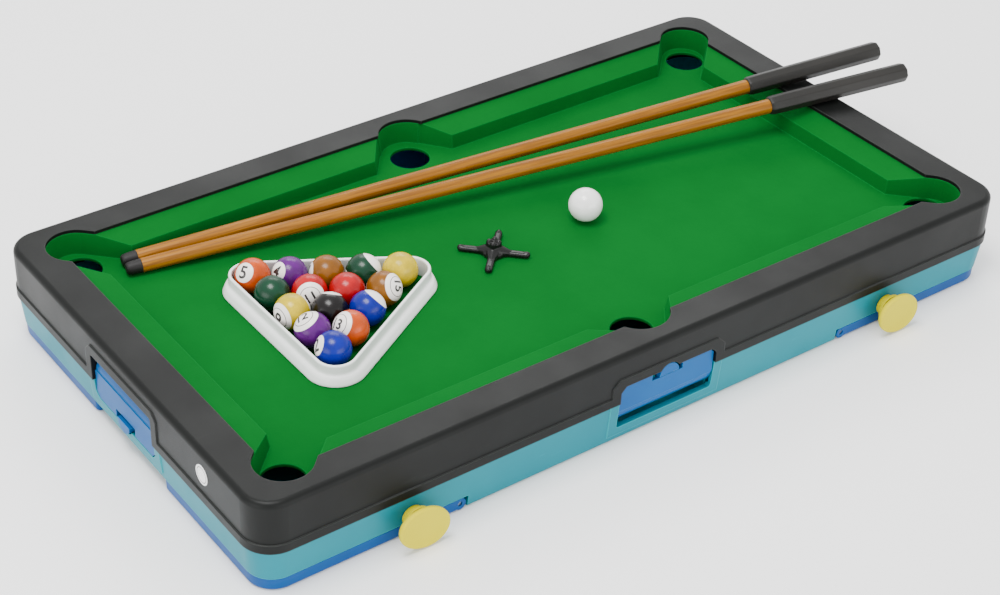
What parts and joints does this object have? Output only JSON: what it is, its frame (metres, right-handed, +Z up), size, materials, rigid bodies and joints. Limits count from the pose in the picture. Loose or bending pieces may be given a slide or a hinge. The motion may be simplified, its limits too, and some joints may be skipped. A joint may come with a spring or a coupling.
{
  "type": "table-top pool table",
  "caption": "Folding table-top pool table with balls, triangle rack, cues and cue rest; drop pockets feed a store below with tip-out doors, and arched legs swing down at both ends.",
  "frame": {"origin": "middle of the base's underside, on the surface it stands on", "axes": "+X along the table towards the cue grips, +Y across it, +Z up"},
  "size_m": [0.5951, 0.3214, 0.0778],
  "materials": {
    "frame_black": "satin moulded plastic",
    "bed_green": "short flocking on moulded plastic",
    "base_teal": "satin moulded plastic",
    "steel": "plated",
    "label_white": "smooth printed film",
    "leg_blue": "satin moulded plastic",
    "door_blue": "satin moulded plastic",
    "knob_yellow": "semi-gloss moulded plastic",
    "rack_white": "semi-gloss moulded plastic",
    "rest_black": "gloss moulded plastic",
    "cue_tip": "satin",
    "cue_wood": "varnished",
    "cue_grip": "satin",
    "ball_yellow": "polished resin",
    "ball_striped_yellow": "polished resin, white with a band of this colour",
    "ball_blue": "polished resin",
    "ball_striped_blue": "polished resin, white with a band of this colour",
    "ball_red": "polished resin",
    "ball_striped_red": "polished resin, white with a band of this colour",
    "ball_purple": "polished resin",
    "ball_striped_purple": "polished resin, white with a band of this colour",
    "ball_orange": "polished resin",
    "ball_striped_orange": "polished resin, white with a band of this colour",
    "ball_green": "polished resin",
    "ball_striped_green": "polished resin, white with a band of this colour",
    "ball_brown": "polished resin",
    "ball_striped_brown": "polished resin, white with a band of this colour",
    "ball_black": "polished resin",
    "ball_white": "polished resin"
  },
  "bodies": {
    "table": {"top_frame": "frame_black", "play_bed": "bed_green", "base_shell": "base_teal", "frame_screws": "steel", "leg_rod_right": "steel", "leg_rod_left": "steel", "side_label": "label_white"},
    "leg_right": {"leg_right": "leg_blue"},
    "leg_left": {"leg_left": "leg_blue"},
    "knob_front_left": {"knob_front_left": "knob_yellow"},
    "knob_front_right": {"knob_front_right": "knob_yellow"},
    "knob_back_left": {"knob_back_left": "knob_yellow"},
    "knob_back_right": {"knob_back_right": "knob_yellow"},
    "door_front": {"door_front": "door_blue"},
    "door_back": {"door_back": "door_blue"},
    "door_left": {"door_left": "door_blue"},
    "door_right": {"door_right": "door_blue"},
    "ball_01": {"ball_01": "ball_yellow"},
    "ball_02": {"ball_02": "ball_blue"},
    "ball_03": {"ball_03": "ball_red"},
    "ball_04": {"ball_04": "ball_purple"},
    "ball_05": {"ball_05": "ball_orange"},
    "ball_06": {"ball_06": "ball_green"},
    "ball_07": {"ball_07": "ball_brown"},
    "ball_08": {"ball_08": "ball_black"},
    "ball_09": {"ball_09": "ball_striped_yellow"},
    "ball_10": {"ball_10": "ball_striped_blue"},
    "ball_11": {"ball_11": "ball_striped_red"},
    "ball_12": {"ball_12": "ball_striped_purple"},
    "ball_13": {"ball_13": "ball_striped_orange"},
    "ball_14": {"ball_14": "ball_striped_green"},
    "ball_15": {"ball_15": "ball_striped_brown"},
    "cue_ball": {"cue_ball": "ball_white"},
    "triangle_rack": {"triangle_rack": "rack_white"},
    "cue_1": {"cue_1_tip": "cue_tip", "cue_1_shaft": "cue_wood", "cue_1_grip": "cue_grip"},
    "cue_2": {"cue_2_tip": "cue_tip", "cue_2_shaft": "cue_wood", "cue_2_grip": "cue_grip"},
    "cue_rest": {"cue_rest": "rest_black"}
  },
  "joints": [
    {"name": "leg_right_fold", "type": "hinge", "parent": "table", "child": "leg_right", "pos_m": [0.1427, 0, 0.004], "axis": [0, 1, 0], "range_deg": [0, 90]},
    {"name": "leg_left_fold", "type": "hinge", "parent": "table", "child": "leg_left", "pos_m": [-0.1427, 0, 0.004], "axis": [0, -1, 0], "range_deg": [0, 90]},
    {"name": "knob_front_left_turn", "type": "hinge", "parent": "table", "child": "knob_front_left", "pos_m": [-0.1756, -0.1482, 0.01375], "axis": [0, -1, 0], "range_deg": [0, 90]},
    {"name": "knob_front_right_turn", "type": "hinge", "parent": "table", "child": "knob_front_right", "pos_m": [0.1756, -0.1482, 0.01375], "axis": [0, -1, 0], "range_deg": [0, 90]},
    {"name": "knob_back_left_turn", "type": "hinge", "parent": "table", "child": "knob_back_left", "pos_m": [-0.1756, 0.1482, 0.01375], "axis": [0, 1, 0], "range_deg": [0, 90]},
    {"name": "knob_back_right_turn", "type": "hinge", "parent": "table", "child": "knob_back_right", "pos_m": [0.1756, 0.1482, 0.01375], "axis": [0, 1, 0], "range_deg": [0, 90]},
    {"name": "door_front_tip", "type": "hinge", "parent": "table", "child": "door_front", "pos_m": [0, -0.136, 0.021], "axis": [1, 0, 0], "range_deg": [0, 88]},
    {"name": "door_back_tip", "type": "hinge", "parent": "table", "child": "door_back", "pos_m": [0, 0.136, 0.021], "axis": [-1, 0, 0], "range_deg": [0, 88]},
    {"name": "door_left_tip", "type": "hinge", "parent": "table", "child": "door_left", "pos_m": [-0.2578, 0, 0.035], "axis": [0, 1, 0], "range_deg": [0, 88]},
    {"name": "door_right_tip", "type": "hinge", "parent": "table", "child": "door_right", "pos_m": [0.2578, 0, 0.035], "axis": [0, -1, 0], "range_deg": [0, 88]},
    {"name": "ball_01_lift", "type": "slide", "parent": "table", "child": "ball_01", "axis": [0, 0, 1], "range_m": [0, 0.15]},
    {"name": "ball_02_lift", "type": "slide", "parent": "table", "child": "ball_02", "axis": [0, 0, 1], "range_m": [0, 0.15]},
    {"name": "ball_03_lift", "type": "slide", "parent": "table", "child": "ball_03", "axis": [0, 0, 1], "range_m": [0, 0.15]},
    {"name": "ball_04_lift", "type": "slide", "parent": "table", "child": "ball_04", "axis": [0, 0, 1], "range_m": [0, 0.15]},
    {"name": "ball_05_lift", "type": "slide", "parent": "table", "child": "ball_05", "axis": [0, 0, 1], "range_m": [0, 0.15]},
    {"name": "ball_06_lift", "type": "slide", "parent": "table", "child": "ball_06", "axis": [0, 0, 1], "range_m": [0, 0.15]},
    {"name": "ball_07_lift", "type": "slide", "parent": "table", "child": "ball_07", "axis": [0, 0, 1], "range_m": [0, 0.15]},
    {"name": "ball_08_lift", "type": "slide", "parent": "table", "child": "ball_08", "axis": [0, 0, 1], "range_m": [0, 0.15]},
    {"name": "ball_09_lift", "type": "slide", "parent": "table", "child": "ball_09", "axis": [0, 0, 1], "range_m": [0, 0.15]},
    {"name": "ball_10_lift", "type": "slide", "parent": "table", "child": "ball_10", "axis": [0, 0, 1], "range_m": [0, 0.15]},
    {"name": "ball_11_lift", "type": "slide", "parent": "table", "child": "ball_11", "axis": [0, 0, 1], "range_m": [0, 0.15]},
    {"name": "ball_12_lift", "type": "slide", "parent": "table", "child": "ball_12", "axis": [0, 0, 1], "range_m": [0, 0.15]},
    {"name": "ball_13_lift", "type": "slide", "parent": "table", "child": "ball_13", "axis": [0, 0, 1], "range_m": [0, 0.15]},
    {"name": "ball_14_lift", "type": "slide", "parent": "table", "child": "ball_14", "axis": [0, 0, 1], "range_m": [0, 0.15]},
    {"name": "ball_15_lift", "type": "slide", "parent": "table", "child": "ball_15", "axis": [0, 0, 1], "range_m": [0, 0.15]},
    {"name": "cue_ball_lift", "type": "slide", "parent": "table", "child": "cue_ball", "axis": [0, 0, 1], "range_m": [0, 0.15]},
    {"name": "triangle_rack_lift", "type": "slide", "parent": "table", "child": "triangle_rack", "axis": [0, 0, 1], "range_m": [0, 0.15]},
    {"name": "cue_1_lift", "type": "slide", "parent": "table", "child": "cue_1", "axis": [0, 0, 1], "range_m": [0, 0.15]},
    {"name": "cue_2_lift", "type": "slide", "parent": "table", "child": "cue_2", "axis": [0, 0, 1], "range_m": [0, 0.15]},
    {"name": "cue_rest_lift", "type": "slide", "parent": "table", "child": "cue_rest", "axis": [0, 0, 1], "range_m": [0, 0.15]}
  ]
}
